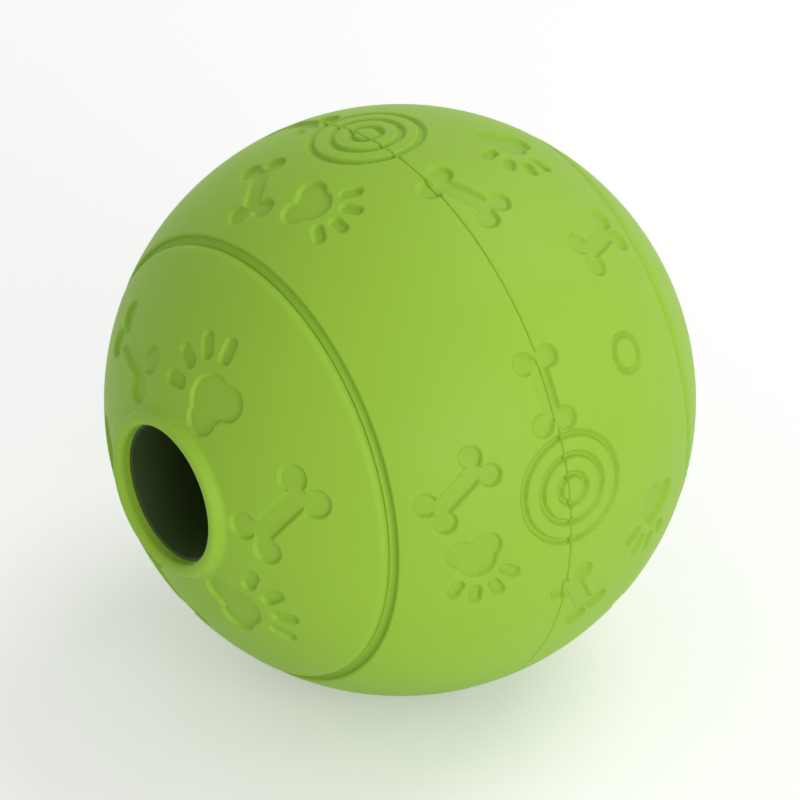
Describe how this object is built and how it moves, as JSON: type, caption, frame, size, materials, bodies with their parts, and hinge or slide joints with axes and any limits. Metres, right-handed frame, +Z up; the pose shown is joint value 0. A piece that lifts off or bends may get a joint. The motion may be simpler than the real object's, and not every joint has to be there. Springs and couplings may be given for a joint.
{
  "type": "treat dispensing ball",
  "caption": "Rubber treat ball for dogs with a round mouth, a screw cap at a seam groove, moulded paws, bones and rings, and a removable maze inside.",
  "frame": {"origin": "centre of the ball", "axes": "-Y out of the mouth along the ball's axis, +Z up, +X to the right as the mouth is seen from behind"},
  "size_m": [0.11, 0.1099, 0.11],
  "materials": {
    "green_rubber": "satin moulded",
    "throat_rubber": "satin moulded",
    "ring_plastic": "matte moulded",
    "seal_rubber": "matte",
    "maze_plastic": "satin moulded"
  },
  "bodies": {
    "ball_body": {"front_shell": "green_rubber", "rear_shell": "green_rubber", "neck_ring": "ring_plastic", "seal_ring": "seal_rubber", "key_socket": "ring_plastic"},
    "maze": {"maze_cage": "maze_plastic", "maze_floor": "maze_plastic", "lower_baffle": "maze_plastic", "middle_baffle": "maze_plastic", "upper_baffle": "maze_plastic", "centre_post": "maze_plastic", "post_clip": "ring_plastic"},
    "cap": {"cap_shell": "green_rubber", "cap_ring": "ring_plastic", "throat_tube": "throat_rubber"}
  },
  "joints": [
    {"name": "cap_lift", "type": "slide", "parent": "ball_body", "child": "maze", "axis": [0, -1, 0], "range_m": [0, 0.012]},
    {"name": "cap_turn", "type": "hinge", "parent": "maze", "child": "cap", "pos_m": [0, 0, 0], "axis": [0, -1, 0], "range_deg": [0, 360]}
  ],
  "couplings": [
    {"joint": "cap_lift", "follows": "cap_turn", "m_per_rad": 0.0019099}
  ]
}
